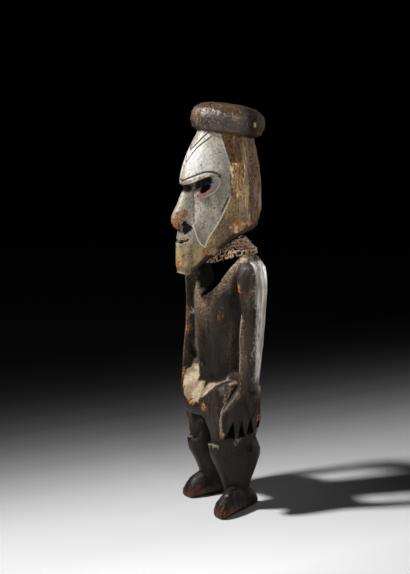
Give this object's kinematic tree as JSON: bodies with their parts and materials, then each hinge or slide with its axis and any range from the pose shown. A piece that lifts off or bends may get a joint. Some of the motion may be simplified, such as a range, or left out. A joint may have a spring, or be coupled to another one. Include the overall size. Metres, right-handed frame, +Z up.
{
  "type": "carved standing figure",
  "caption": "Standing carved wooden figure with a long mask-like face, round cap, flat hands on the thighs and a looped-fibre collar; free-standing ornament.",
  "frame": {"origin": "middle of the bounding box in X and Y, on the ground under the soles", "axes": "+Z up along the figure's height, the figure faces -Y, its left hand is on +X"},
  "size_m": [0.1864, 0.1514, 0.5996],
  "materials": {
    "figure": "dark, smooth-worn and partly polished",
    "fibre_collar": "rough looped fibre string"
  },
  "bodies": {
    "root": {"figure": "figure", "fibre_collar": "fibre_collar"}
  },
  "joints": []
}
